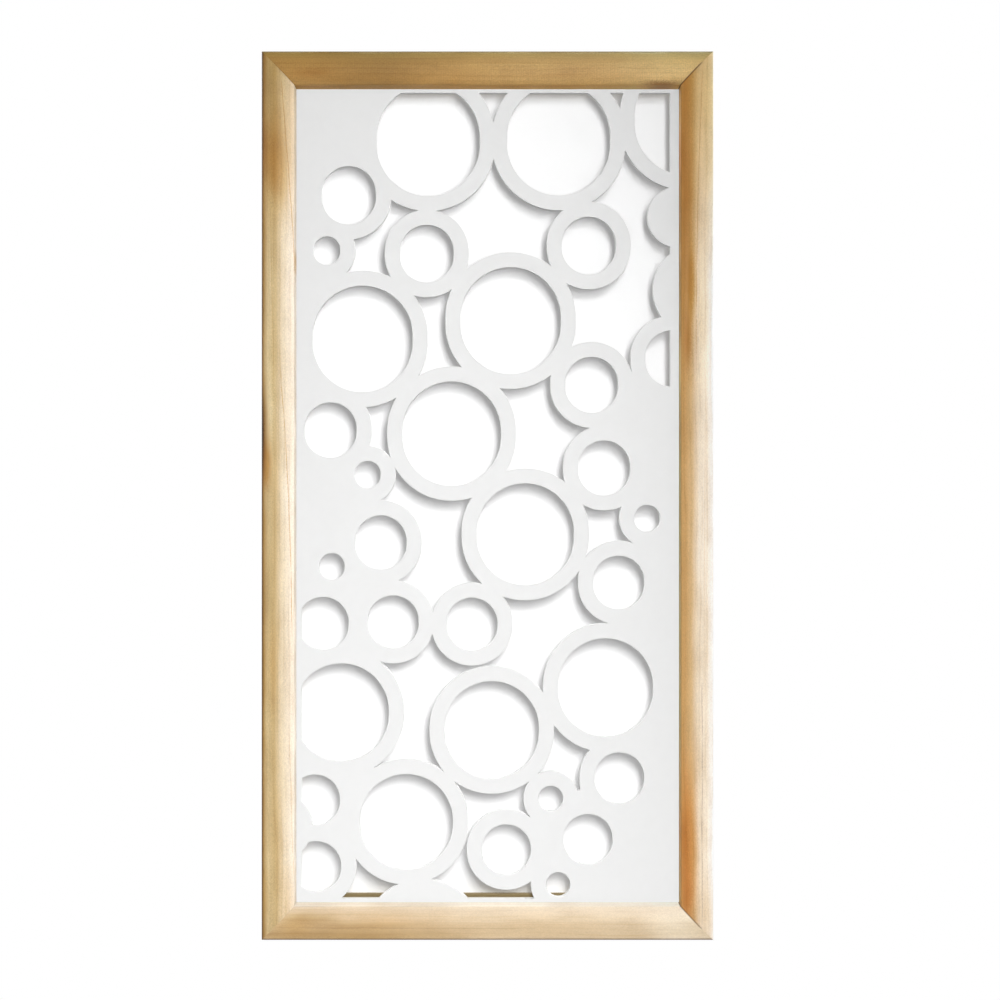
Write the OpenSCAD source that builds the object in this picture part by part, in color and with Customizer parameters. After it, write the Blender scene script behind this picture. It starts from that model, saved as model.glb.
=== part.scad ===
// Framed decorative panel: a mitred softwood moulding round a white board pierced with rings,
// with stop beads and pins behind the board, and two D-ring hangers on the back.
// X is to the right, Y is from the front to the wall, Z is up. The origin is on the back of the
// top rail, half way along it, so the panel hangs below the origin. Sizes are in millimetres.

/* [Frame] */
// Width of the frame over its outer edges
frame_w = 610; // [450:5:800]
// Height of the frame over its outer edges
frame_h = 1200; // [900:10:1500]
// Width of the moulding, from its outer edge to the sight edge
mould_w = 43; // [38:1:60]
// Depth of the moulding, from front to back
mould_d = 36; // [34:1:48]
// Width of the flat land along the outer edge of the face
land_w = 14; // [8:1:20]
// How far the rounded face falls from the land to the sight edge
face_drop = 8; // [4:1:12]
// Radius of the rounded outer corner of the face
arris_r = 3.5; // [1:0.5:5]
// Width of the rebate behind the sight edge
rebate_w = 11; // [8:1:14]
// Depth of the board's front below the front of the frame
board_recess = 24; // [18:1:26]

/* [Board] */
// Thickness of the pierced board
board_t = 5; // [3:0.5:6]
// Space left round the board in its rebate
board_gap = 1; // [0.5:0.5:3]
// Plain strip between the left sight edge and the cut-outs
margin_left = 7; // [4:1:20]
// Plain strip between the right sight edge and the cut-outs
margin_right = 12; // [4:1:20]
// Plain strip between the upper and lower sight edges and the cut-outs
margin_ends = 5; // [4:1:20]

/* [Rings] */
// Width of the hole in a big ring at half height
hole_big = 134; // [110:1:150]
// Width of the hole in a medium ring at half height
hole_medium = 71; // [50:1:90]
// Width of the hole in a small ring at half height
hole_small = 35; // [20:1:45]
// Width of the band round each hole
ring_band = 21; // [16:1:28]
// Height of a hole over its width, at half height
hole_stretch = 1.05; // [1.04:0.01:1.1]
// Growth of the holes from half height to the top, as a share
ring_growth = 0.06; // [0:0.01:0.1]
// Growth of the stretch from half height to the top
stretch_growth = 0.03; // [0:0.01:0.03]

/* [Stop beads] */
// How far the bottom bead stands above the lower sight edge
bead_sill = 9; // [0:1:14]
// Space left round each bead
bead_gap = 0.2; // [0.1:0.1:0.5]
// Diameter of the pins through the beads
pin_d = 1.4; // [1:0.1:2]
// Diameter of a pin's head
pin_head_d = 2.4; // [2.2:0.1:3]
// Length of a pin that grips the frame
pin_grip = 14; // [8:1:20]
// Number of pins in each side bead
pins_side = 6; // [3:1:9]
// Number of pins in the top bead, and in the bottom one
pins_end = 4; // [2:1:6]

/* [Corner fixings] */
// Length of each leg of a V-nail
v_leg = 8; // [6:1:10]
// Thickness of a V-nail
v_t = 0.8; // [0.5:0.1:1]
// How deep a V-nail goes in
v_depth = 12; // [8:1:16]
// Distance of the first V-nail from both outer edges
v_first = 8; // [6:1:10]
// Distance from one V-nail to the next
v_pitch = 11; // [9:1:12]

/* [Hangers] */
// Distance of the hinge of a hanger below the top of the frame
hanger_drop = 200; // [120:5:300]
// Width of a hanger strap
strap_w = 18; // [14:1:20]
// Length of a hanger strap below its hinge
strap_l = 34; // [32:1:40]
// Thickness of a hanger strap
strap_t = 1.2; // [1:0.1:1.5]
// Diameter of the ring's wire
wire_d = 3; // [2.5:0.5:3.5]
// Width of the opening in the ring
eye_w = 22; // [21:1:24]
// Length of the ring's straight legs, from the hinge
ring_leg = 5; // [4:0.5:7]
// Radius of the bends between the ring's bar and its legs
ring_bend = 3; // [2.5:0.5:4]
// Clearance round the ring's bar in its loop
hinge_clear = 0.05; // [0.03:0.01:0.1]
// Height of the loop above the back of the frame
loop_lift = 0.4; // [0.3:0.1:0.8]
// Diameter of the hanger screws
screw_d = 3; // [2.5:0.5:4]
// Length of a hanger screw that grips the stile
screw_grip = 15; // [10:1:20]
// Diameter of a screw's head
head_d = 6.5; // [5:0.5:7]
// Distances of the two screws below the hinge
screw_drops = [9, 26.5];

/* [Bumpers] */
// Diameter of a wall bumper
bumper_d = 14; // [10:1:20]
// Distance from the wall to the back of the frame
wall_gap = 6; // [6:0.5:10]
// Distance of a bumper from the side of the frame
bumper_inset = 50; // [30:5:100]

/* [Hidden] */
$fn = 96;

// How far a cutting tool runs past what it cuts
over = 2;

sight_w = frame_w - 2 * mould_w;
sight_h = frame_h - 2 * mould_w;
board_face_y = board_recess - mould_d;
bead_t = mould_d - board_recess - board_t;
bead_w = rebate_w - bead_gap;
face_r = (pow(mould_w - land_w, 2) + pow(face_drop, 2)) / (2 * face_drop);
back_flat_w = mould_w - rebate_w;
hung_z = back_flat_w / 2 - frame_h / 2;

// The window holds every cut-out. The layout below was drawn for a window of this size.
layout_w = 505;
layout_h = 1104;
window_w = sight_w - margin_left - margin_right;
window_h = sight_h - 2 * margin_ends;
window_x = (margin_left - margin_right) / 2;

// Ring centres, from the middle of the window
big_at = [
    [-79, 487], [100, 488], [275, 516], [-169, 215], [34, 240], [-47, 85],
    [54, -53], [-198, -297], [164, -263], [8, -321], [-109, -447]
];
medium_at = [
    [-188, 412], [-81, 332], [141, 343], [255, 188], [145, 152], [-213, 90],
    [162, 38], [-144, -64], [-223, -175], [-127, -173], [-19, -176], [182, -119],
    [183, -387], [-234, -417], [-232, -508], [28, -485], [140, -471]
];
small_at = [[-218, 336], [-162, 29], [-211, -97], [221, -31], [89, -415], [99, -533]];

// Plain round humps that grow in from the edges of the window: centre and diameter
humps = [[[263, 382], 84], [[292, 282], 127], [[-86, -609], 167], [[-284, -453], 93]];

// The plain ground at each side reaches as far as a line through these ring centres
left_line = [
    big_at[0], medium_at[0], small_at[0], big_at[3], medium_at[5], small_at[1],
    medium_at[7], medium_at[9], big_at[7], big_at[10], medium_at[14]
];
right_line = [
    medium_at[3], medium_at[4], medium_at[6], small_at[3], medium_at[11], big_at[8],
    medium_at[12], small_at[4], medium_at[15], small_at[5]
];

// Hanger: the hinge stands off the back, and the ring is drawn about it
hanger_x = frame_w / 2 - back_flat_w / 2;
hinge_z = frame_h / 2 - hanger_drop;
bar_hole_r = wire_d / 2 + hinge_clear;
loop_r = bar_hole_r + strap_t;
hinge_y = loop_lift + loop_r;
ring_half = eye_w / 2 + wire_d / 2;
head_h = 0.8;
crown_h = 1;
screw_slack = 0.25;
recess_w = 0.9;
recess_l = 3.6;
pin_head_h = 0.6;
bumper_edge = 1.5;

function placed(p) = [window_x + p[0] * window_w / layout_w, p[1] * window_h / layout_h];
function width_at(p, w) = w * window_w / layout_w * (1 + ring_growth * 2 * p[1] / layout_h);
function height_over_width(p) = hole_stretch + stretch_growth * 2 * p[1] / layout_h;

// Everything is drawn about the middle of the frame, then moved to hang from the origin
module hung() {
    translate([0, 0, hung_z]) children();
}

// Section of the moulding: x runs in from the outer edge, y runs back from the face
module moulding_section() {
    difference() {
        union() {
            translate([arris_r, 0]) square([land_w - arris_r, mould_d]);
            translate([0, arris_r]) square([arris_r, mould_d - arris_r]);
            translate([arris_r, arris_r]) circle(r = arris_r);
            intersection() {
                translate([land_w, -over]) square([mould_w - land_w, mould_d + over]);
                translate([land_w, face_r]) circle(r = face_r, $fn = 360);
            }
        }
        translate([mould_w - rebate_w, board_recess])
            square([rebate_w + over, mould_d - board_recess + over]);
    }
}

// One mitred length, drawn as a top rail of the given length, far from the middle
module mitred_length(length, far) {
    inner = mould_w + over;
    intersection() {
        translate([-length / 2 - over, -mould_d, far])
            rotate([0, 90, 0])
                linear_extrude(length + 2 * over) moulding_section();
        rotate([90, 0, 0])
            linear_extrude(4 * mould_d, center = true)
                polygon([
                    [-length / 2 - over, far + over], [length / 2 + over, far + over],
                    [length / 2 - inner, far - inner], [inner - length / 2, far - inner]
                ]);
    }
}

// V-nails across one mitre, at the corner on side sx and end sz
module v_nails(sx, sz) {
    turn = sz > 0 ? (sx > 0 ? 0 : 270) : (sx > 0 ? 90 : 180);
    for (from_edge = [v_first, v_first + v_pitch])
        translate([sx * (frame_w / 2 - from_edge), 0, sz * (frame_h / 2 - from_edge)])
            rotate([0, turn, 0])
                rotate([90, 0, 0])
                    linear_extrude(v_depth)
                        polygon([
                            [0, 0], [-v_leg, 0], [-v_leg, -v_t],
                            [-v_t, -v_t], [-v_t, -v_leg], [0, -v_leg]
                        ]);
}

module all_v_nails() {
    for (sx = [-1, 1], sz = [-1, 1]) v_nails(sx, sz);
}

// A row of pins driven outwards along +X, heads flush with the plane x = 0
module pin_row(count, length, through) {
    for (i = [0 : count - 1])
        translate([0, -bead_t / 2, length * ((i + 0.5) / count - 0.5)])
            rotate([0, 90, 0]) {
                cylinder(d = pin_head_d, h = pin_head_h);
                cylinder(d = pin_d, h = through + pin_grip);
            }
}

side_bead_z = [bead_gap + bead_sill - sight_h / 2, sight_h / 2 - bead_gap];
side_bead_l = side_bead_z[1] - side_bead_z[0];
side_bead_mid = (side_bead_z[0] + side_bead_z[1]) / 2;
end_bead_l = sight_w + 2 * bead_w;

module side_pins(side) {
    translate([side * sight_w / 2, 0, side_bead_mid])
        rotate([0, side > 0 ? 0 : 180, 0])
            pin_row(pins_side, side_bead_l, bead_w);
}

module top_pins() {
    translate([0, 0, sight_h / 2])
        rotate([0, -90, 0]) pin_row(pins_end, end_bead_l, bead_w);
}

module bottom_pins() {
    translate([0, 0, bead_sill - sight_h / 2])
        rotate([0, 90, 0]) pin_row(pins_end, end_bead_l, bead_w + bead_sill);
}

// Two screws of one hanger, heads on the strap
module hanger_screws(side) {
    for (drop = screw_drops)
        translate([side * hanger_x, strap_t, hinge_z - drop])
            rotate([-90, 0, 0]) {
                translate([0, 0, -strap_t - screw_grip])
                    cylinder(d = screw_d, h = strap_t + screw_grip);
                difference() {
                    union() {
                        cylinder(d = head_d, h = head_h);
                        translate([0, 0, head_h])
                            cylinder(d1 = head_d, d2 = head_d * 0.6, h = crown_h);
                    }
                    for (turn = [0, 90])
                        rotate([0, 0, turn])
                            translate([-recess_l / 2, -recess_w / 2, head_h - 0.2])
                                cube([recess_l, recess_w, crown_h + over]);
                }
            }
}

module hanger_strap(side) {
    foot = strap_l - strap_w / 2;
    translate([side * hanger_x, 0, hinge_z])
        difference() {
            union() {
                translate([-strap_w / 2, 0, -foot]) cube([strap_w, strap_t, foot]);
                translate([0, 0, -foot]) rotate([-90, 0, 0]) cylinder(d = strap_w, h = strap_t);
                translate([0, hinge_y, 0])
                    rotate([0, 90, 0]) cylinder(r = loop_r, h = strap_w, center = true);
            }
            translate([0, hinge_y, 0])
                rotate([0, 90, 0])
                    cylinder(r = bar_hole_r, h = strap_w + 2 * over, center = true);
            for (drop = screw_drops)
                translate([0, -over, -drop])
                    rotate([-90, 0, 0])
                        cylinder(r = screw_d / 2 + screw_slack, h = strap_t + 2 * over);
        }
}

// The ring hangs from its bar: a bar, two bends, two legs and a half round
module hanger_ring(side) {
    translate([side * hanger_x, hinge_y, hinge_z])
        rotate([90, 0, 0]) {
            rotate([0, 90, 0])
                cylinder(d = wire_d, h = 2 * (ring_half - ring_bend), center = true);
            for (s = [-1, 1]) {
                translate([s * (ring_half - ring_bend), -ring_bend, 0])
                    rotate([0, 0, s > 0 ? 0 : 90])
                        rotate_extrude(angle = 90)
                            translate([ring_bend, 0]) circle(d = wire_d, $fn = 48);
                translate([s * ring_half, -ring_leg, 0])
                    rotate([-90, 0, 0]) cylinder(d = wire_d, h = ring_leg - ring_bend);
            }
            translate([0, -ring_leg, 0])
                rotate([0, 0, 180])
                    rotate_extrude(angle = 180)
                        translate([ring_half, 0]) circle(d = wire_d, $fn = 48);
        }
}

// A round shape drawn out upwards: two rounds of one size, the first a little above the other
module drawn_out(w, rise) {
    translate([0, rise]) circle(d = w);
    translate([0, -rise]) circle(d = w);
}

module each_ring(centres, w, band) {
    for (p = centres) {
        hole_w = width_at(p, w);
        translate(placed(p))
            drawn_out(hole_w + 2 * band, hole_w * (height_over_width(p) - 1) / 2);
    }
}

// All rings as flat shapes, grown by the band, or as bare holes with a band of nothing
module ring_shapes(band) {
    each_ring(big_at, hole_big, band);
    each_ring(medium_at, hole_medium, band);
    each_ring(small_at, hole_small, band);
}

module hump_shapes() {
    for (hump = humps)
        translate(placed(hump[0])) circle(d = hump[1] * window_w / layout_w);
}

// Plain ground at the left and the right of the rings
module plain_ground() {
    far_x = window_w / 2 + over;
    far_z = window_h / 2 + over;
    first = placed(left_line[0]);
    last = placed(left_line[len(left_line) - 1]);
    polygon(concat(
        [[window_x - far_x, far_z], [first[0], far_z]],
        [for (p = left_line) placed(p)],
        [[last[0], -far_z], [window_x - far_x, -far_z]]
    ));
    start = placed(right_line[0]);
    end = placed(right_line[len(right_line) - 1]);
    polygon(concat(
        [[window_x + far_x, start[1]]],
        [for (p = right_line) placed(p)],
        [[end[0], -far_z], [window_x + far_x, -far_z]]
    ));
}

// A flat shape stood up as a plate of the board's thickness, or thicker by twice a margin
module stood_up(margin) {
    translate([0, board_face_y - margin, 0])
        rotate([90, 0, 0])
            mirror([0, 0, 1]) linear_extrude(board_t + 2 * margin) children();
}

module window_block(margin) {
    stood_up(margin) translate([window_x, 0]) square([window_w, window_h], center = true);
}

// The board, less the gaps between the rings and less the holes in them
module pierced_board() {
    board_w = sight_w + 2 * (rebate_w - board_gap);
    board_h = sight_h + 2 * (rebate_w - board_gap);
    difference() {
        stood_up(0) square([board_w, board_h], center = true);
        difference() {
            window_block(over);
            stood_up(2 * over) ring_shapes(ring_band);
            stood_up(2 * over) plain_ground();
            stood_up(2 * over) hump_shapes();
        }
        difference() {
            intersection() {
                window_block(over);
                stood_up(2 * over) ring_shapes(0);
            }
            stood_up(3 * over) hump_shapes();
        }
    }
}

module wall_bumper(side) {
    translate([side * (frame_w / 2 - bumper_inset), 0, back_flat_w / 2 - frame_h / 2])
        rotate([-90, 0, 0]) {
            cylinder(d = bumper_d, h = wall_gap - bumper_edge);
            translate([0, 0, wall_gap - bumper_edge])
                cylinder(d1 = bumper_d, d2 = bumper_d - 2 * bumper_edge, h = bumper_edge);
        }
}

module top_rail() {
    color("#b08f5c") hung() difference() {
        mitred_length(frame_w, frame_h / 2);
        all_v_nails();
        top_pins();
    }
}

module bottom_rail() {
    color("#e2c9a4") hung() difference() {
        rotate([0, 180, 0]) mitred_length(frame_w, frame_h / 2);
        all_v_nails();
        bottom_pins();
    }
}

module stile(side) {
    difference() {
        rotate([0, side * 90, 0]) mitred_length(frame_h, frame_w / 2);
        all_v_nails();
        side_pins(side);
        hanger_screws(side);
    }
}

module left_stile() {
    color("#d6b98a") hung() stile(-1);
}

module right_stile() {
    color("#cfa570") hung() stile(1);
}

module ring_board() {
    color("#f2f2f0") hung() pierced_board();
}

module end_bead(low, high) {
    translate([-end_bead_l / 2, -bead_t, low]) cube([end_bead_l, bead_t, high - low]);
}

module side_bead(side) {
    difference() {
        translate([side * (sight_w / 2 + bead_w / 2), -bead_t / 2, side_bead_mid])
            cube([bead_w, bead_t, side_bead_l], center = true);
        side_pins(side);
    }
}

module top_bead() {
    color("#a68a5f") hung() difference() {
        end_bead(sight_h / 2, sight_h / 2 + bead_w);
        top_pins();
    }
}

module bottom_bead() {
    color("#968259") hung() difference() {
        end_bead(-sight_h / 2 - bead_w, bead_sill - sight_h / 2);
        bottom_pins();
    }
}

module left_bead() {
    color("#a68a5f") hung() side_bead(-1);
}

module right_bead() {
    color("#a68a5f") hung() side_bead(1);
}

module top_bead_pins() {
    color("silver") hung() top_pins();
}

module bottom_bead_pins() {
    color("silver") hung() bottom_pins();
}

module left_bead_pins() {
    color("silver") hung() side_pins(-1);
}

module right_bead_pins() {
    color("silver") hung() side_pins(1);
}

module v_nails_top_left() {
    color("slategray") hung() v_nails(-1, 1);
}

module v_nails_top_right() {
    color("slategray") hung() v_nails(1, 1);
}

module v_nails_bottom_left() {
    color("slategray") hung() v_nails(-1, -1);
}

module v_nails_bottom_right() {
    color("slategray") hung() v_nails(1, -1);
}

module left_hanger_strap() {
    color("lightgray") hung() hanger_strap(-1);
}

module right_hanger_strap() {
    color("lightgray") hung() hanger_strap(1);
}

module left_hanger_ring() {
    color("silver") hung() hanger_ring(-1);
}

module right_hanger_ring() {
    color("silver") hung() hanger_ring(1);
}

module left_hanger_screws() {
    color("gray") hung() hanger_screws(-1);
}

module right_hanger_screws() {
    color("gray") hung() hanger_screws(1);
}

module left_bumper() {
    color("dimgray") hung() wall_bumper(-1);
}

module right_bumper() {
    color("dimgray") hung() wall_bumper(1);
}

top_rail();
bottom_rail();
left_stile();
right_stile();
ring_board();
top_bead();
bottom_bead();
left_bead();
right_bead();
top_bead_pins();
bottom_bead_pins();
left_bead_pins();
right_bead_pins();
v_nails_top_left();
v_nails_top_right();
v_nails_bottom_left();
v_nails_bottom_right();
left_hanger_strap();
right_hanger_strap();
left_hanger_ring();
right_hanger_ring();
left_hanger_screws();
right_hanger_screws();
left_bumper();
right_bumper();
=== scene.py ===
import math

import bmesh
import bpy
from mathutils import Matrix, Vector


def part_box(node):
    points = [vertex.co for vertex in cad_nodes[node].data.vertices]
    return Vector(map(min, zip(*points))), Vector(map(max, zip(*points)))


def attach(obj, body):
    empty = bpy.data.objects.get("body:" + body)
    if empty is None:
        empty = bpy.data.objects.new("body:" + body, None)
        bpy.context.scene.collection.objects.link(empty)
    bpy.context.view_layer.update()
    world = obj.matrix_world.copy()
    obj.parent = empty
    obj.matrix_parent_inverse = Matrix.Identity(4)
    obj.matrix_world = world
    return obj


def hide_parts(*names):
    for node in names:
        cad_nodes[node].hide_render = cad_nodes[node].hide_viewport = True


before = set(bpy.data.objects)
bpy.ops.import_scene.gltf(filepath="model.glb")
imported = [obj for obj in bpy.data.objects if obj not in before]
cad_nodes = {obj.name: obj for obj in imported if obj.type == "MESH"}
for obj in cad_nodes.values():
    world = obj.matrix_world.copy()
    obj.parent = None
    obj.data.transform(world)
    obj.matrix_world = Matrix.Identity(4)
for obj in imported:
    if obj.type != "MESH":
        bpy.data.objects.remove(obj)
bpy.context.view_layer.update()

MM = 0.001
ACROSS = Vector((1, 0, 0))

# Planes and outer edges of the frame, from its own pieces
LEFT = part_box("left_stile")[0].x
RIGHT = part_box("right_stile")[1].x
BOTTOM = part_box("bottom_rail")[0].z
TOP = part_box("top_rail")[1].z
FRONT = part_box("top_rail")[0].y
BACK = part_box("top_rail")[1].y
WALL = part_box("left_bumper")[1].y
BOARD_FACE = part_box("ring_board")[0].y
WIDTH = RIGHT - LEFT
HEIGHT = TOP - BOTTOM
HALF_W = WIDTH / 2
HALF_H = HEIGHT / 2
MIDDLE = Vector(((LEFT + RIGHT) / 2, 0, (BOTTOM + TOP) / 2))

# Section of the moulding: a flat land outside, then a round face that drops to the lip
MOULD_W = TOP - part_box("top_rail")[0].z
LAND_W = 14 * MM
FACE_DROP = 8 * MM
FACE_STEPS = 14
REBATE_W = 11 * MM
RECESS = BOARD_FACE - FRONT
DEPTH = BACK - FRONT

# How far its corners are rounded, and how near an edge lies to a place to be taken for it
ARRIS_R = 3.5 * MM
CORNER_EASE = 0.5 * MM
MITRE_EASE = 0.3 * MM
NEAR = 0.1 * MM


# Shader maths

class Wire:
    """An output socket. Sums and products of wires add their own Math nodes."""

    def __init__(self, nodes, socket):
        self.nodes, self.socket = nodes, socket

    def maths(self, how, *values):
        return self.nodes.node("ShaderNodeMath", {"operation": how}, dict(enumerate(values)))

    def __add__(self, other):
        return self.maths("ADD", self, other)

    def __radd__(self, other):
        return self.maths("ADD", other, self)

    def __sub__(self, other):
        return self.maths("SUBTRACT", self, other)

    def __rsub__(self, other):
        return self.maths("SUBTRACT", other, self)

    def __mul__(self, other):
        return self.maths("MULTIPLY", self, other)

    def __rmul__(self, other):
        return self.maths("MULTIPLY", other, self)

    def __truediv__(self, other):
        return self.maths("DIVIDE", self, other)

    def __pow__(self, other):
        return self.maths("POWER", self, other)

    def __abs__(self):
        return self.maths("ABSOLUTE", self)

    def sine(self):
        return self.maths("SINE", self)

    def lowest(self, other):
        return self.maths("MINIMUM", self, other)

    def highest(self, other):
        return self.maths("MAXIMUM", self, other)

    def rise(self, start, end):
        """0 before start, 1 past end, smooth between; end may be lower than start."""
        return self.nodes.node(
            "ShaderNodeMapRange", {"interpolation_type": "SMOOTHSTEP"},
            {"Value": self, "From Min": start, "From Max": end})

    def near(self, middle, half):
        """1 at the middle, falling smoothly to 0 at half to each side."""
        return abs(self - middle).rise(half, 0)

    def within(self, middle, half):
        """1 within half to each side of the middle, falling to 0 over the last third."""
        return abs(self - middle).rise(half, half * 0.67)


class Nodes:
    """The nodes of a material or of the world. Every one of them comes from node()."""

    def __init__(self, owner):
        owner.use_nodes = True
        self.owner, self.tree = owner, owner.node_tree
        self.tree.nodes.clear()

    def node(self, kind, settings=None, inputs=None, output=0):
        """Adds a node, makes its settings, then gives its sockets their values or links."""
        made = self.tree.nodes.new(kind)
        for key, value in (settings or {}).items():
            if key == "stops":
                elements = made.color_ramp.elements
                while len(elements) < len(value):
                    elements.new(0.5)
                for element, (at, colour) in zip(elements, value):
                    element.position, element.color = at, (*colour, 1)
            else:
                setattr(made, key, value)
        for key, value in (inputs or {}).items():
            self.feed(made.inputs[key], value)
        return Wire(self, made.outputs[output]) if made.outputs else None

    def feed(self, socket, value):
        if isinstance(value, Wire):
            self.tree.links.new(value.socket, socket)
        else:
            socket.default_value = value

    def place(self):
        """The three parts of a point's place in the frame."""
        point = self.node("ShaderNodeTexCoord", output="Object")
        return [self.node("ShaderNodeSeparateXYZ", None, {0: point}, part) for part in "XYZ"]

    def join(self, x, y, z):
        return self.node("ShaderNodeCombineXYZ", None, {0: x, 1: y, 2: z})

    def noise(self, x, y, z, detail=2.0, rough=0.5):
        """Cloudy noise about 0, from -0.5 to 0.5."""
        return self.node(
            "ShaderNodeTexNoise", {"noise_dimensions": "3D"},
            {"Vector": self.join(x, y, z), "Scale": 1.0, "Detail": detail,
             "Roughness": rough}) - 0.5

    def ramp(self, value, stops):
        return self.node("ShaderNodeValToRGB", {"stops": stops}, {0: value})

    def mix(self, a, b, share, how="MIX"):
        a, b = (v if isinstance(v, Wire) else (*v, 1) for v in (a, b))
        return self.node(
            "ShaderNodeMix", {"data_type": "RGBA", "blend_type": how}, {0: share, 6: a, 7: b}, 2)

    def tint(self, colour, by, share):
        return self.mix(colour, by, share, "MULTIPLY")

    def shade(self, colour, value):
        """The colour times a plain value."""
        return self.tint(colour, self.join(value, value, value), 1.0)

    def seen(self):
        """1 for what the camera sees, straight or in metal or glass, 0 for light on a surface."""
        camera, glossy, through = (
            self.node("ShaderNodeLightPath", output="Is " + ray + " Ray")
            for ray in ("Camera", "Glossy", "Transmission"))
        return (camera + glossy + through).lowest(1)


def socket_name(key):
    """What the shader calls a socket: base_color is Base Color."""
    return key.replace("_", " ").title().replace("Ior", "IOR")


class Finish(Nodes):
    """A material with one Principled shader, whose constants are set on its sockets."""

    def __init__(self, name, **constants):
        super().__init__(bpy.data.materials.new(name))
        shader = self.node(
            "ShaderNodeBsdfPrincipled", None,
            {socket_name(key): value for key, value in constants.items()})
        self.sockets = shader.socket.node.inputs
        self.node("ShaderNodeOutputMaterial", None, {"Surface": shader})
        self.x, self.y, self.z = self.place()

    def give(self, **links):
        """Feeds sockets of the shader with what varies over the surface."""
        for key, value in links.items():
            self.feed(self.sockets[socket_name(key)], value)

    def bump(self, height, strength, distance):
        self.give(normal=self.node(
            "ShaderNodeBump", None,
            {"Strength": strength, "Distance": distance, "Height": height}))

    def speckle(self, size, detail):
        """Noise that is the same every way, with patches of a size in mm."""
        return self.noise(*(part / (size * MM) for part in (self.x, self.y, self.z)), detail)


def tone(red, green, blue):
    """A colour given as a screen shows it, in the shader's linear scale."""
    def linear(c):
        c /= 255
        return c / 12.92 if c <= 0.04045 else ((c + 0.055) / 1.055) ** 2.4
    return linear(red), linear(green), linear(blue)


# Making pieces

# A face that is square to the frame and larger than this is shaded flat, so that the rounding
# beside it doesn't bend the light on it
BROAD = 100 * MM * MM
SQUARE_ON = 0.99999

# How much an edge turns where it is a corner to ease, on a moulding and on a CAD shape
MOULDING_CORNER = math.radians(30)
CAD_CORNER = math.radians(50)

# Corners of a CAD mesh this near are one, and faces this near to flat are one
SAME_PLACE = 0.002 * MM
SAME_PLANE = math.radians(0.6)


def finished(bm, name, body, finish, sharp_from=35):
    """Puts the mesh in the scene at the origin, on its body, with its finish. Edges of more than
    sharp_from degrees stay sharp."""
    mesh = bpy.data.meshes.new(name)
    bm.to_mesh(mesh)
    bm.free()
    mesh.shade_smooth()
    mesh.set_sharp_from_angle(angle=math.radians(sharp_from))
    for face in mesh.polygons:
        square_on = max(abs(c) for c in face.normal) >= SQUARE_ON
        face.use_smooth = not (square_on and face.area >= BROAD)
    mesh.materials.append(finish.owner)
    piece = bpy.data.objects.new(name, mesh)
    bpy.context.scene.collection.objects.link(piece)
    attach(piece, body)
    return piece


def corner_between(edge):
    """The angle between the two faces of an edge, negative on an inside corner."""
    return edge.calc_face_angle_signed(0) if len(edge.link_faces) == 2 else 0


def soften(bm, edges, width, segments=2):
    bmesh.ops.bevel(
        bm, geom=list(edges), offset=width, offset_type="OFFSET", segments=segments,
        affect="EDGES", profile=0.5, material=-1, miter_outer="ARC", clamp_overlap=False)


def merged(node):
    """A copy of a CAD node's mesh with its corners joined and its flat faces whole."""
    bm = bmesh.new()
    bm.from_mesh(cad_nodes[node].data)
    bmesh.ops.remove_doubles(bm, verts=bm.verts, dist=SAME_PLACE)
    bmesh.ops.dissolve_limit(bm, angle_limit=SAME_PLANE, verts=bm.verts, edges=bm.edges)
    return bm


def runs_along(edge, way):
    return abs((edge.verts[1].co - edge.verts[0].co).normalized().dot(way)) > 0.999


def moulding_section(bm, at):
    """The moulding's section as one face. at turns a place, inward and deep, into a point."""
    face_w = MOULD_W - LAND_W
    face_r = (face_w ** 2 + FACE_DROP ** 2) / (2 * FACE_DROP)
    land_edge = bm.verts.new(at(LAND_W, 0))
    bmesh.ops.spin(
        bm, geom=[land_edge], cent=at(LAND_W, face_r), axis=ACROSS, dvec=(0, 0, 0),
        angle=math.asin(face_w / face_r), steps=FACE_STEPS, use_duplicate=False)
    lip = max(bm.verts, key=lambda v: v.co.y)
    run = [lip] + [bm.verts.new(at(*place)) for place in (
        (MOULD_W, RECESS), (MOULD_W - REBATE_W, RECESS), (MOULD_W - REBATE_W, DEPTH),
        (0, DEPTH), (0, 0))]
    for a, b in zip(run, run[1:] + [land_edge]):
        bm.edges.new((a, b))
    return bmesh.ops.contextual_create(bm, geom=bm.edges[:])["faces"][0]


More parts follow.
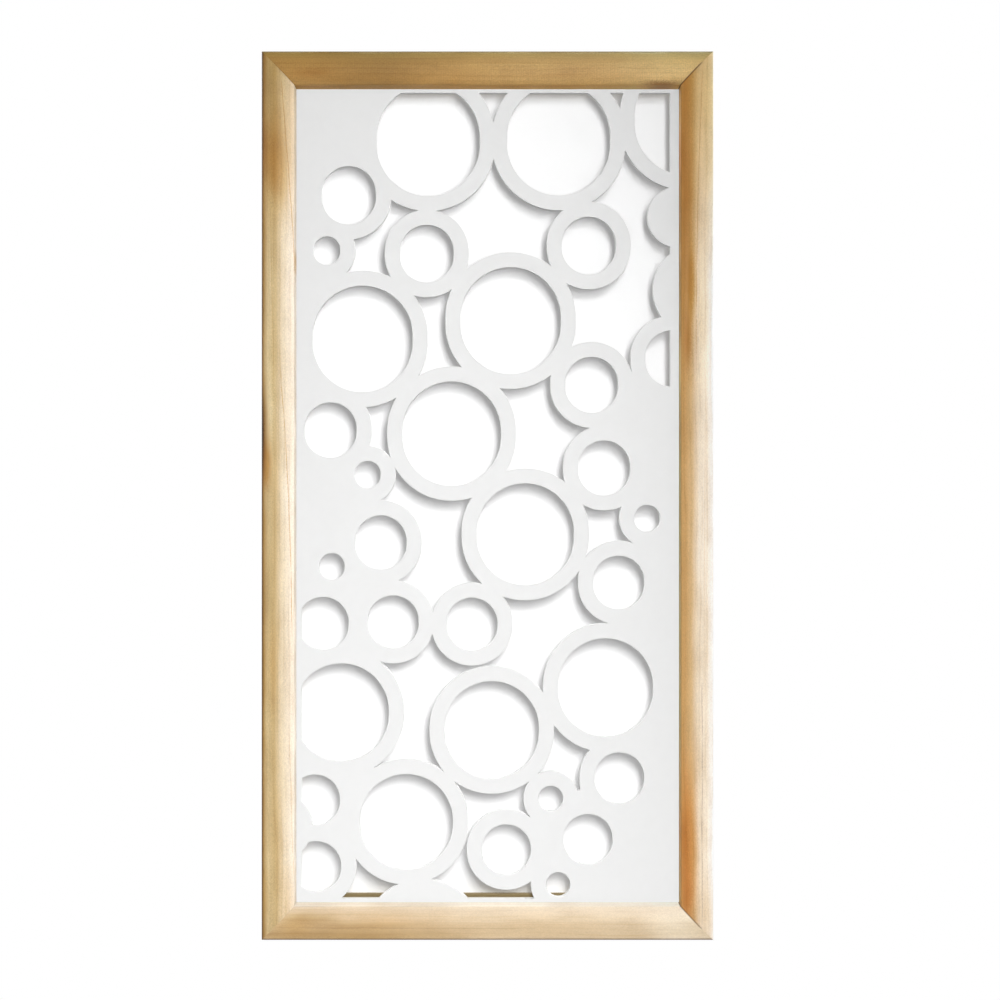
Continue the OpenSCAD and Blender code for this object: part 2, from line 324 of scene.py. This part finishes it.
def mitred_length(name, turn, length, reach, finish):
    """One length of moulding, drawn as a top rail whose outer edge is at reach from the frame's
    middle, then turned about that middle."""
    spare = 5 * MM
    start = -length / 2 - spare
    outer = MIDDLE.z + reach

    def at(inward, deep):
        return Vector((start, FRONT + deep, outer - inward))

    bm = bmesh.new()
    section = moulding_section(bm, at)
    pulled = bmesh.ops.extrude_face_region(bm, geom=[section])["geom"]
    bmesh.ops.translate(
        bm, vec=(length + 2 * spare, 0, 0),
        verts=[v for v in pulled if isinstance(v, bmesh.types.BMVert)])
    bmesh.ops.recalc_face_normals(bm, faces=bm.faces)

    # The outer front corner gets its arris, and the other corners a little easing, apart from
    # those in the plane of the board's face, which stay square against the board
    long_edges = [e for e in bm.edges if runs_along(e, ACROSS)]
    arris = [e for e in long_edges if (e.verts[0].co - at(0, 0)).yz.length < NEAR]
    crisp = [e for e in long_edges
             if e not in arris and abs(corner_between(e)) > MOULDING_CORNER
             and abs(e.verts[0].co.y - BOARD_FACE) > NEAR]
    soften(bm, arris, ARRIS_R, segments=6)
    soften(bm, [e for e in crisp if e.is_valid], CORNER_EASE)

    for side in (-1, 1):
        cut = bmesh.ops.bisect_plane(
            bm, geom=bm.verts[:] + bm.edges[:] + bm.faces[:], dist=1e-7,
            plane_co=(side * length / 2, 0, outer), plane_no=(side, 0, -1), clear_outer=True)
        rim = [g for g in cut["geom_cut"] if isinstance(g, bmesh.types.BMEdge)]
        cap = bmesh.ops.contextual_create(bm, geom=rim)["faces"]
        soften(bm, [e for f in cap for e in f.edges], MITRE_EASE, segments=1)
    bmesh.ops.recalc_face_normals(bm, faces=bm.faces)

    # Rounding the corners pushes a few points out by some microns
    for vert in bm.verts:
        vert.co.y = max(vert.co.y, FRONT)
        vert.co.z = min(vert.co.z, outer)
    bmesh.ops.rotate(
        bm, verts=bm.verts, cent=MIDDLE, matrix=Matrix.Rotation(math.radians(turn), 3, "Y"))
    return finished(bm, name, "panel", finish, sharp_from=25)


# Oiled pine. These tints, in the shader's scale, stain the wood where they lie, and the dark brown
# one also paints shade.

KNOT = (0.76, 0.56, 0.32)
ORANGE = (0.88, 0.62, 0.36)
AMBER = (0.82, 0.68, 0.46)
OLIVE = (0.70, 0.62, 0.42)
HONEY = (0.86, 0.72, 0.40)
DUSK = (0.80, 0.80, 0.78)
# Dark brown: dark wood in knots and growth lines, and painted shade on the outer edge and the lip
DARK_WOOD_AND_SHADE = (0.42, 0.30, 0.22)
GLUE = (0.30, 0.22, 0.16)
PALE = (1.12, 1.18, 1.30)
CREAM = (1.13, 1.13, 1.08)
BLOND = (1.30, 1.42, 1.55)
BRIGHTEST = (0.98, 0.98, 0.98)

# Places on the moulding, in mm: the last tone inward, the lip, and the front of the lip
TONE_SPAN = 44
LIP_AT = MOULD_W / MM
LIP_FRONT = FACE_DROP / MM

# Distance between the marks that the planer's knives left, in mm
CHATTER_PITCH = 2.4

# Roughness of the oiled wood, before its grain varies it
SATIN = 0.5


def pine(name, inward, length, half, *, seed, tones, stains, hairs, joints, edge,
         lip=(1, 1, 1), rim=0.0, grain=1.0, flecks=0.5, chatter=0.0):
    """The wood of one length of moulding. Its places and sizes are in mm.

    inward and length pick the wires that run across and along the piece, and half is its half
    length. seed moves its noise. tones are its colours from the outer edge in, each (place
    inward, colour on a screen). A stain is (tint, place along, half length, place inward, half
    width, strength). A hair is a fine growth line: (tint, place inward at mid length, slope,
    curve, place along, half length, strength).

    joints are how dark the mitre lines are at the low and the high end, edge is how dark the
    outer edge is, with darker wood and painted shade on its arris, and rim is a thin painted
    shade line at its corner. lip lightens the wall that faces the board with painted light.
    grain, flecks and chatter are how much the fibres, the specks and the planer's marks show."""
    wood = Finish(name, roughness=SATIN, specular_ior_level=0.4)
    across, run, deep = inward(wood), length(wood), (wood.y - FRONT) / MM

    # From the slow wander of the grain to single fibres. A divisor is the size of a patch.
    drift = wood.noise(run / 260, across / 45, seed, 1.0)
    waver = wood.noise(run / 60, across / 18, seed + 3, 2.0)
    cloud = wood.noise(run / 60, across / 20, seed + 11, 2.0)
    streak = wood.noise(run / 150, across / 3.2, deep / 3.2 + seed, 2.0, 0.55)
    fibre = wood.noise(run / 7, across / 0.8, deep / 0.8 + seed, 3.0, 0.6)
    fleck = wood.noise(run / 2.4, across / 1.5, deep / 1.5 + seed, 3.0, 0.75)

    # Growth lines are the crests of a wave across the grain, and come and go along it
    phase = across * 0.13 + deep * 0.05 + drift * 2.6 + waver * 0.5 + fibre * 0.12
    crests = ((phase * math.tau).sine() * 0.5 + 0.5) ** 6
    lines = crests * (wood.noise(run / 130, across / 7, seed + 7, 1.0) + 0.5)

    # The side and the outer back take the tones of wood further in, and little of the stains
    outside = deep.rise(4, 9) * across.rise(20, 8)
    toned_at = across + drift * 8 + waver * 4 + fleck * 2 + outside * 12
    colour = wood.ramp(
        toned_at / TONE_SPAN, [(at / TONE_SPAN, tone(*shown)) for at, shown in tones])
    grained = (fibre * 0.28 + streak * 0.09 + lines * 0.05) * grain
    colour = wood.shade(colour, 1 - grained - fleck * flecks - cloud * 0.26)
    warmth = (lines * 0.4 + streak * 0.6) * grain + cloud * 0.8
    colour = wood.tint(colour, AMBER, warmth.highest(0).lowest(1))

    stained_run = run + waver * 40 + fibre * 14
    stained_across = across + drift * 6 + fleck * 6
    stained_side = 1 - outside * 0.8
    for stain, where, reach, inner, width, strength in stains:
        mask = stained_run.near(where, reach) * stained_across.near(inner, width)
        colour = wood.tint(colour, stain, mask * strength * stained_side)
    for hair, start, slope, curve, where, reach, strength in hairs:
        path = across - start - run * slope - run * run * curve + waver * 2.2 + fleck * 1.4
        broken = (wood.noise(run / 24, start, seed, 1.0) + 0.5).rise(0.2, 0.5)
        shown = broken * run.within(where, reach)
        colour = wood.tint(colour, hair, path.near(0, 0.9) * shown * strength)

    # Dark mitre lines, which fade towards the outer edge, then darker wood with painted shade on
    # the outer edge, and painted light on the lip
    for end, strength in zip((-1, 1), joints):
        gap = (half - run * end - across).rise(2.0, 0.4)
        colour = wood.tint(colour, GLUE, gap * across.rise(13, 20) * strength)
    # Darker wood and painted shade along the outer arris, little of it on the side
    edge_shade_and_stain = (across + fleck * 1.2).rise(4.2, 0.6)
    colour = wood.tint(colour, DARK_WOOD_AND_SHADE, edge_shade_and_stain * edge * (1 - outside))
    # A thin painted shade line along the corner of the outer edge
    if rim:
        colour = wood.tint(colour, DARK_WOOD_AND_SHADE, across.rise(1.5, 0.6) * deep.rise(9, 4) * rim)
    # Painted light on the lip, the wall that faces the board
    lip_light_mask = across.rise(LIP_AT - 0.5, LIP_AT - 0.1) * deep.rise(LIP_FRONT - 0.5, LIP_FRONT + 1)
    colour = wood.tint(colour, lip, lip_light_mask)
    colour = wood.mix(colour, BRIGHTEST, 1.0, "DARKEN")
    if chatter:
        marks = (run * (math.tau / CHATTER_PITCH) + waver * 3).sine() * (fleck + 0.6)
        colour = wood.shade(colour, 1 - marks * across.within(28, 16) * chatter)

    wood.give(base_color=colour, roughness=SATIN + fibre * 0.14 + lines * 0.06)
    wood.bump(
        fibre * 0.5 + fleck * 0.3 + streak * 0.2 - lines * 0.2, strength=0.22, distance=0.15 * MM)
    return wood


def from_left(wood):
    return (wood.x - LEFT) / MM


def from_right(wood):
    return (RIGHT - wood.x) / MM


def from_top(wood):
    return (TOP - wood.z) / MM


def from_bottom(wood):
    return (wood.z - BOTTOM) / MM


def sideways(wood):
    return wood.x / MM


def upward(wood):
    return (wood.z - MIDDLE.z) / MM


top_pine = pine(
    "pine_top_rail", from_top, sideways, HALF_W / MM, seed=3.1,
    tones=[
        (0, (206, 196, 150)), (4, (165, 138, 75)), (14, (180, 142, 78)), (34, (194, 152, 88)),
        (44, (195, 155, 92))],
    stains=[
        # The left end is greener, with a small knot
        (OLIVE, -250, 360, 20, 80, 0.7), (KNOT, -238, 34, 29, 8, 0.4),
        # The right end and the middle are pale, with a dull patch left of the middle
        (PALE, 260, 200, 22, 40, 1.2), (DUSK, -145, 110, 34, 70, 1.0),
        (PALE, 40, 110, 24, 40, 0.9), (BLOND, 268, 110, 22, 60, 1.0),
        # Warm wood along the inner edge, touches near both ends, and painted shade on the lip near
        # the right end
        (AMBER, 30, 220, 42, 5, 0.4), (AMBER, -140, 170, 38, 12, 0.3),
        (OLIVE, -215, 90, 4, 7, 0.25), (PALE, 215, 80, 26, 40, 0.8), (DARK_WOOD_AND_SHADE, 235, 42, 43, 6, 0.95)],
    hairs=[(PALE, 19, -0.008, 0.0, 60, 180, 0.7), (DARK_WOOD_AND_SHADE, 12, 0.01, 0.0, -40, 130, 0.15)],
    joints=(0.2, 1.0), edge=0.55, lip=(1.75, 1.62, 1.25), flecks=0.8, chatter=0.07)

bottom_pine = pine(
    "pine_bottom_rail", from_bottom, sideways, HALF_W / MM, seed=17.4,
    tones=[
        (0, (208, 186, 158)), (6, (208, 183, 146)), (20, (207, 182, 146)), (30, (215, 194, 163)),
        (44, (210, 192, 168))],
    stains=[
        # The left end is greener
        (OLIVE, -190, 230, 7, 13, 0.75), (OLIVE, -245, 60, 28, 14, 0.7),
        (OLIVE, -170, 90, 19, 7, 0.5), (AMBER, -190, 220, 14, 44, 0.5),
        (AMBER, -140, 60, 27, 14, 0.3), (HONEY, -265, 42, 18, 26, 0.5),
        # The right end is pale
        (PALE, 240, 170, 14, 34, 0.9), (PALE, 264, 80, 12, 40, 0.8), (BLOND, 258, 60, 16, 34, 0.4)],
    hairs=[
        (DARK_WOOD_AND_SHADE, 16.5, -0.002, 0.0, -110, 190, 0.25), (AMBER, 21, 0.003, 0.0, 60, 200, 0.2),
        (PALE, 25, 0.0, 0.0, -30, 160, 0.5)],
    joints=(0.0, 1.0), edge=0.9, lip=(1.5, 1.65, 1.85), rim=0.6, grain=0.6, flecks=0.42)

left_pine = pine(
    "pine_left_stile", from_left, upward, HALF_H / MM, seed=29.8,
    # The dark stops at the outer edge are darker wood with painted shade on the arris that faces
    # away from the light
    tones=[
        (0, (140, 106, 44)), (4, (170, 134, 80)), (9, (200, 177, 132)), (19, (198, 171, 122)),
        (29, (220, 203, 173)), (36, (225, 209, 186)), (44, (243, 229, 212))],
    stains=[
        # The top end, and the knot in the upper part with the warm wood around it
        (OLIVE, 620, 230, 20, 60, 1.15), (HONEY, 455, 120, 19, 34, 0.95),
        (KNOT, 470, 60, 16, 18, 0.65), (KNOT, 425, 44, 17, 13, 0.5), (AMBER, 440, 90, 28, 10, 0.6),
        (KNOT, 460, 60, 5, 10, 0.6), (AMBER, 510, 180, 38, 16, 0.35),
        # The dark knot at the outer edge above the middle, with pale wood around it
        (PALE, 170, 90, 5, 12, 0.7), (GLUE, 78, 62, 0, 6, 1.1), (DARK_WOOD_AND_SHADE, 90, 80, 0, 10, 0.8),
        (KNOT, 46, 50, 7, 10, 1.2), (PALE, 0, 46, 33, 12, 0.6), (PALE, 110, 90, 14, 10, 0.8),
        (BLOND, 150, 120, 14, 9, 0.5), (PALE, 275, 90, 14, 14, 0.8),
        # The lower half
        (AMBER, -230, 95, 16, 12, 0.6), (AMBER, -470, 95, 20, 13, 0.25),
        (AMBER, -565, 80, 34, 16, 0.6), (OLIVE, -120, 110, 9, 12, 0.4),
        (BLOND, -300, 120, 5, 8, 0.6), (BLOND, -525, 70, 6, 9, 0.7)],
    hairs=[
        (KNOT, 47, 0.019, -0.0001, 420, 175, 0.9), (KNOT, 35.7, -0.043, -0.00009, 0, 220, 1.0),
        (AMBER, 27, -0.03, 0.0, -420, 120, 0.6), (AMBER, 20, -0.02, 0.0, 270, 140, 0.6)],
    joints=(0.0, 0.2), edge=0.75, flecks=0.75)

right_pine = pine(
    "pine_right_stile", from_right, upward, HALF_H / MM, seed=41.2,
    # The near-white stops at the outer edge are painted highlight on the arris that faces the light
    tones=[
        (0, (255, 255, 252)), (4, (253, 243, 233)), (9, (248, 233, 212)), (20, (241, 222, 196)),
        (29, (222, 188, 137)), (38, (215, 168, 106))],
    stains=[
        # The top end
        (HONEY, 560, 270, 30, 30, 1.0), (HONEY, 550, 320, 6, 34, 1.0),
        (AMBER, 560, 120, 36, 13, 0.6), (HONEY, 410, 120, 29, 14, 0.6),
        (AMBER, 400, 200, 37, 15, 0.8), (AMBER, 462, 50, 43, 9, 0.7), (PALE, 490, 100, 20, 9, 0.8),
        # The two long knots in the upper half
        (HONEY, 285, 95, 29, 9, 1.3), (KNOT, 290, 60, 30, 6, 0.5), (AMBER, 280, 100, 40, 8, 0.3),
        (KNOT, 208, 68, 33, 9, 0.85), (CREAM, 240, 120, 14, 14, 0.8),
        (HONEY, 310, 300, 33, 30, 0.4),
        # The pale middle, and the orange patch near the foot
        (PALE, -45, 170, 27, 24, 0.85), (AMBER, -355, 80, 23, 10, 0.4),
        (AMBER, -565, 70, 8, 24, 0.4), (ORANGE, -462, 165, 34, 17, 1.15),
        (ORANGE, -545, 60, 35, 13, 0.8), (KNOT, -478, 80, 40, 9, 0.5)],
    hairs=[
        (KNOT, 21, 0.024, -0.00006, 380, 230, 0.8), (DARK_WOOD_AND_SHADE, 15.6, 0.0, 0.0, -410, 200, 0.6),
        (AMBER, 12, -0.004, 0.0, -60, 260, 0.4), (AMBER, 9, 0.003, 0.0, -60, 220, 0.3)],
    joints=(0.6, 0.9), edge=0.0, lip=(1.9, 1.9, 1.7))


# Other finishes

paint = Finish("white_board_paint", roughness=0.5)
mottle = paint.speckle(14, 3.0)
nap = paint.speckle(0.9, 2.0)
paint.give(
    base_color=paint.shade((0.88, 0.88, 0.875), 1 + mottle * 0.03), roughness=0.49 + nap * 0.1)
paint.bump(nap, strength=0.12, distance=0.08 * MM)


def bead_wood(name, across, run):
    """Plain sawn wood with its fibres along the bead. Its dark olive brown is pine with painted
    shade, the shade that the beads stand in behind the board.
    """
    wood = Finish(name, roughness=0.6)
    fibre = wood.noise(run(wood) / 24, across(wood) / 0.7, wood.y / (0.7 * MM), 3.0)
    cloud = wood.noise(run(wood) / 60, across(wood) / 9, 5.2, 2.0)
    # Painted shade: the beads' pine is darkened to dark olive brown
    colour = wood.mix(tone(140, 122, 80), tone(106, 90, 54), 0.5 + fibre * 0.9 + cloud * 0.6)
    wood.give(base_color=colour, roughness=0.6 + fibre * 0.1)
    wood.bump(fibre, strength=0.2, distance=0.15 * MM)
    return wood


lying_bead_wood = bead_wood("plain_wood_lying", upward, sideways)
standing_bead_wood = bead_wood("plain_wood_standing", sideways, upward)


def metal(name, colour, scratch, roughness):
    """Plated or drawn steel, a little cloudy, with fine scratches of a length in mm."""
    steel = Finish(name, metallic=1.0, roughness=roughness)
    scratches = steel.noise(
        steel.x / (0.15 * MM), steel.y / (0.4 * MM), steel.z / (scratch * MM), 2.0)
    cloud = steel.speckle(3, 2.0)
    steel.give(
        base_color=steel.shade(colour, 1 + cloud * 0.24),
        roughness=roughness + scratches * 0.12 + cloud * 0.06)
    steel.bump(scratches, strength=0.06, distance=0.03 * MM)
    return steel


zinc = metal("bright_zinc", (0.58, 0.585, 0.59), scratch=3, roughness=0.3)
screw_zinc = metal("screw_zinc", (0.52, 0.525, 0.53), scratch=1, roughness=0.32)
pin_wire = metal("pin_wire", (0.50, 0.50, 0.49), scratch=1, roughness=0.35)
blued = metal("blued_nail_steel", (0.36, 0.37, 0.40), scratch=2, roughness=0.4)

rubber = Finish("bumper_rubber", roughness=0.75)
grit = rubber.speckle(0.5, 2.0)
rubber.give(
    base_color=rubber.shade((0.035, 0.035, 0.036), 1 + grit * 0.4), roughness=0.75 + grit * 0.14)
rubber.bump(grit, strength=0.15, distance=0.05 * MM)


# The frame. Light that bounces doesn't see it, so that the pine doesn't colour the board.

mouldings = []
for name, turn, length, reach, finish in (
        ("top_rail", 0, WIDTH, HALF_H, top_pine),
        ("bottom_rail", 180, WIDTH, HALF_H, bottom_pine),
        ("left_stile", -90, HEIGHT, HALF_W, left_pine),
        ("right_stile", 90, HEIGHT, HALF_W, right_pine)):
    moulding = mitred_length(name + "_moulding", turn, length, reach, finish)
    moulding.visible_diffuse = False
    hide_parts(name)
    mouldings.append(moulding)


# The board, the beads and the metalwork keep the CAD shapes, with their edges eased

def eased(node, body, finish, ease, segments=2, shortest=0.0, proud=0.0,
          deepest=math.inf):
    """The node's own shape, with its outside corners rounded where they are long enough and in
    front of deepest. proud moves it out of the frame's back."""
    bm = merged(node)
    if ease:
        soften(bm, [e for e in bm.edges
                    if corner_between(e) > CAD_CORNER and e.calc_length() >= shortest
                    and max(v.co.y for v in e.verts) < deepest], ease, segments)
    bmesh.ops.translate(bm, vec=(0, proud, 0), verts=bm.verts)
    piece = finished(bm, node + "_piece", body, finish)
    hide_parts(node)
    return piece


board = eased(
    "ring_board", "panel", paint, ease=0.5 * MM, segments=3,
    deepest=BOARD_FACE + NEAR)
board.visible_diffuse = False  # hidden from bounced light, as the frame is
for node in ("top_bead", "bottom_bead"):
    eased(node, "panel", lying_bead_wood, ease=0.4 * MM, shortest=5 * MM)
for node in ("left_bead", "right_bead"):
    eased(node, "panel", standing_bead_wood, ease=0.4 * MM, shortest=5 * MM)
for place in ("top", "bottom", "left", "right"):
    eased(place + "_bead_pins", "panel", pin_wire, ease=0)
for corner in ("top_left", "top_right", "bottom_left", "bottom_right"):
    eased("v_nails_" + corner, "panel", blued, ease=0.1 * MM, proud=0.15 * MM)
for side in ("left", "right"):
    eased(side + "_hanger_strap", "panel", zinc, ease=0.15 * MM)
    eased(side + "_hanger_ring", side + "_ring", zinc, ease=0)
    eased(side + "_hanger_screws", "panel", screw_zinc, ease=0)
    eased(side + "_bumper", "panel", rubber, ease=0.8 * MM, segments=4)


# Wall and floor

WHITE = (1, 1, 1, 1)
SPREAD = 6.0
FLOOR = BOTTOM - 0.75
WALL_TOP = 5.0
WALL_DEEP = WALL + 0.2 * MM

# How pale the wall and the floor are, and how far what the camera sees of them is lifted to full
# white. Around the frame the wall is lifted all the way, and behind the board only this little,
# so that it keeps the shadows of the rings.
WALL_PALE = 1.24
WALL_LIFT = 0.15
FLOOR_PALE = 0.5
FLOOR_LIFT = 0.85
WORLD_LIGHT = 0.15


def plain_sheet(name, corners, cover):
    bm = bmesh.new()
    bm.faces.new([bm.verts.new(c) for c in corners])
    mesh = bpy.data.meshes.new(name)
    bm.to_mesh(mesh)
    bm.free()
    mesh.materials.append(cover.owner)
    sheet = bpy.data.objects.new(name, mesh)
    bpy.context.scene.collection.objects.link(sheet)
    return sheet


def matt_white(cover, pale, share):
    """A matt cover that the camera and the metal see lifted to full white by the share."""
    matt = cover.node("ShaderNodeBsdfDiffuse", None, {"Color": (pale, pale, pale, 1)})
    full = cover.node("ShaderNodeEmission", None, {"Color": WHITE, "Strength": 1.0})
    return cover.node("ShaderNodeMixShader", None, {0: cover.seen() * share, 1: matt, 2: full})


def past_sight_edge(place, half):
    """0 behind the board, rising to 1 behind the mouldings, half being half the frame's size."""
    return abs(place).rise(half - 24 * MM, half - 4 * MM)


wall_cover = Nodes(bpy.data.materials.new("wall_white"))
wall_x, _, wall_z = wall_cover.place()
around = past_sight_edge(wall_x, HALF_W).highest(past_sight_edge(wall_z - MIDDLE.z, HALF_H))
# From behind the wall is clear, so that the back of the frame can be seen
wall_cover.node("ShaderNodeOutputMaterial", None, {"Surface": wall_cover.node(
    "ShaderNodeMixShader", None, {
        0: wall_cover.node("ShaderNodeNewGeometry", output="Backfacing"),
        1: matt_white(wall_cover, WALL_PALE, WALL_LIFT + (1 - WALL_LIFT) * around),
        2: wall_cover.node("ShaderNodeBsdfTransparent")})})
wall = plain_sheet(
    "wall",
    [(-SPREAD, WALL_DEEP, FLOOR), (SPREAD, WALL_DEEP, FLOOR),
     (SPREAD, WALL_DEEP, WALL_TOP), (-SPREAD, WALL_DEEP, WALL_TOP)],
    wall_cover)
for kind in ("diffuse", "glossy", "transmission", "shadow"):
    setattr(wall, "visible_" + kind, False)

floor_cover = Nodes(bpy.data.materials.new("floor_white"))
floor_cover.node("ShaderNodeOutputMaterial", None, {
    "Surface": matt_white(floor_cover, FLOOR_PALE, FLOOR_LIFT)})
floor = plain_sheet(
    "floor",
    [(-SPREAD, -SPREAD, FLOOR), (SPREAD, -SPREAD, FLOOR),
     (SPREAD, SPREAD, FLOOR), (-SPREAD, SPREAD, FLOOR)],
    floor_cover)


# Light

bpy.context.scene.world = bpy.data.worlds.new("studio")
studio = Nodes(bpy.context.scene.world)
studio.node("ShaderNodeOutputWorld", None, {"Surface": studio.node(
    "ShaderNodeBackground", None, {
        "Color": WHITE, "Strength": WORLD_LIGHT + (1 - WORLD_LIGHT) * studio.seen()})})


def lamp(name, kind, at, towards, energy, **settings):
    data = bpy.data.lights.new(name, kind)
    data.energy = energy
    for key, value in settings.items():
        setattr(data, key, value)
    thing = bpy.data.objects.new(name, data)
    thing.location = at
    thing.rotation_mode = "QUATERNION"
    thing.rotation_quaternion = (Vector(towards) - Vector(at)).to_track_quat("-Z", "Y")
    bpy.context.scene.collection.objects.link(thing)
    return thing


# The two key lamps stand above and to the right of the camera. One is turned far to the left and
# one far down, which lights the board evenly and a little more towards its foot.
KEY_AT = Vector((0.44, FRONT - 1.45, MIDDLE.z + 0.65))
BROAD_SUN = math.radians(40)
key = lamp(
    "key", "AREA", KEY_AT, MIDDLE + Vector((-14.0, 0, -1.5)), energy=34.6,
    shape="DISK", size=1.5)
low_key = lamp(
    "low_key", "SPOT", KEY_AT, MIDDLE + Vector((-0.6, 0, -3.5)), energy=222,
    shadow_soft_size=0.75, spot_size=math.radians(100), spot_blend=1.0)
side_fill = lamp(
    "side_fill", "SUN", MIDDLE + Vector((2.0, -0.5, 0.3)), MIDDLE, energy=0.6, angle=BROAD_SUN)
back_fills = [
    lamp(side + "_back_fill", "SUN", MIDDLE + Vector((aside, 2.4, 1.2)), MIDDLE, energy=1.3,
         angle=BROAD_SUN)
    for side, aside in (("left", -2.6), ("right", 2.6))]


def left_out(name, things):
    """A collection that leaves the things out of what a lamp linked to it does."""
    group = bpy.data.collections.new(name)
    for thing in things:
        group.objects.link(thing)
    for entry in group.collection_objects:
        entry.light_linking.link_state = "EXCLUDE"
    return group


# The frame's own shadow stays off the board, which is lit evenly up to its edges
no_frame_shadow = left_out("casts_no_key_shadow", mouldings)
for thing in (key, low_key):
    thing.light_linking.blocker_collection = no_frame_shadow
# The fills stay off what would carry them to the board or soften its shadows on the wall
side_fill.light_linking.receiver_collection = left_out(
    "not_lit_from_the_side", [board, wall, floor])
off_floor = left_out("not_lit_from_behind", [floor])
for thing in back_fills:
    thing.light_linking.receiver_collection = off_floor


# Camera, square to the panel and a little right of and below its middle

CAMERA_AT = Vector((16.9 * MM, FRONT - 1450 * MM, MIDDLE.z - 5.9 * MM))
camera_data = bpy.data.cameras.new("camera")
camera_data.sensor_width = 36
camera_data.lens = 38.72
camera = bpy.data.objects.new("camera", camera_data)
bpy.context.scene.collection.objects.link(camera)
camera.location = CAMERA_AT
camera.rotation_euler = (math.radians(90), 0, 0)
bpy.context.scene.camera = camera
bpy.context.scene.view_settings.view_transform = "Standard"
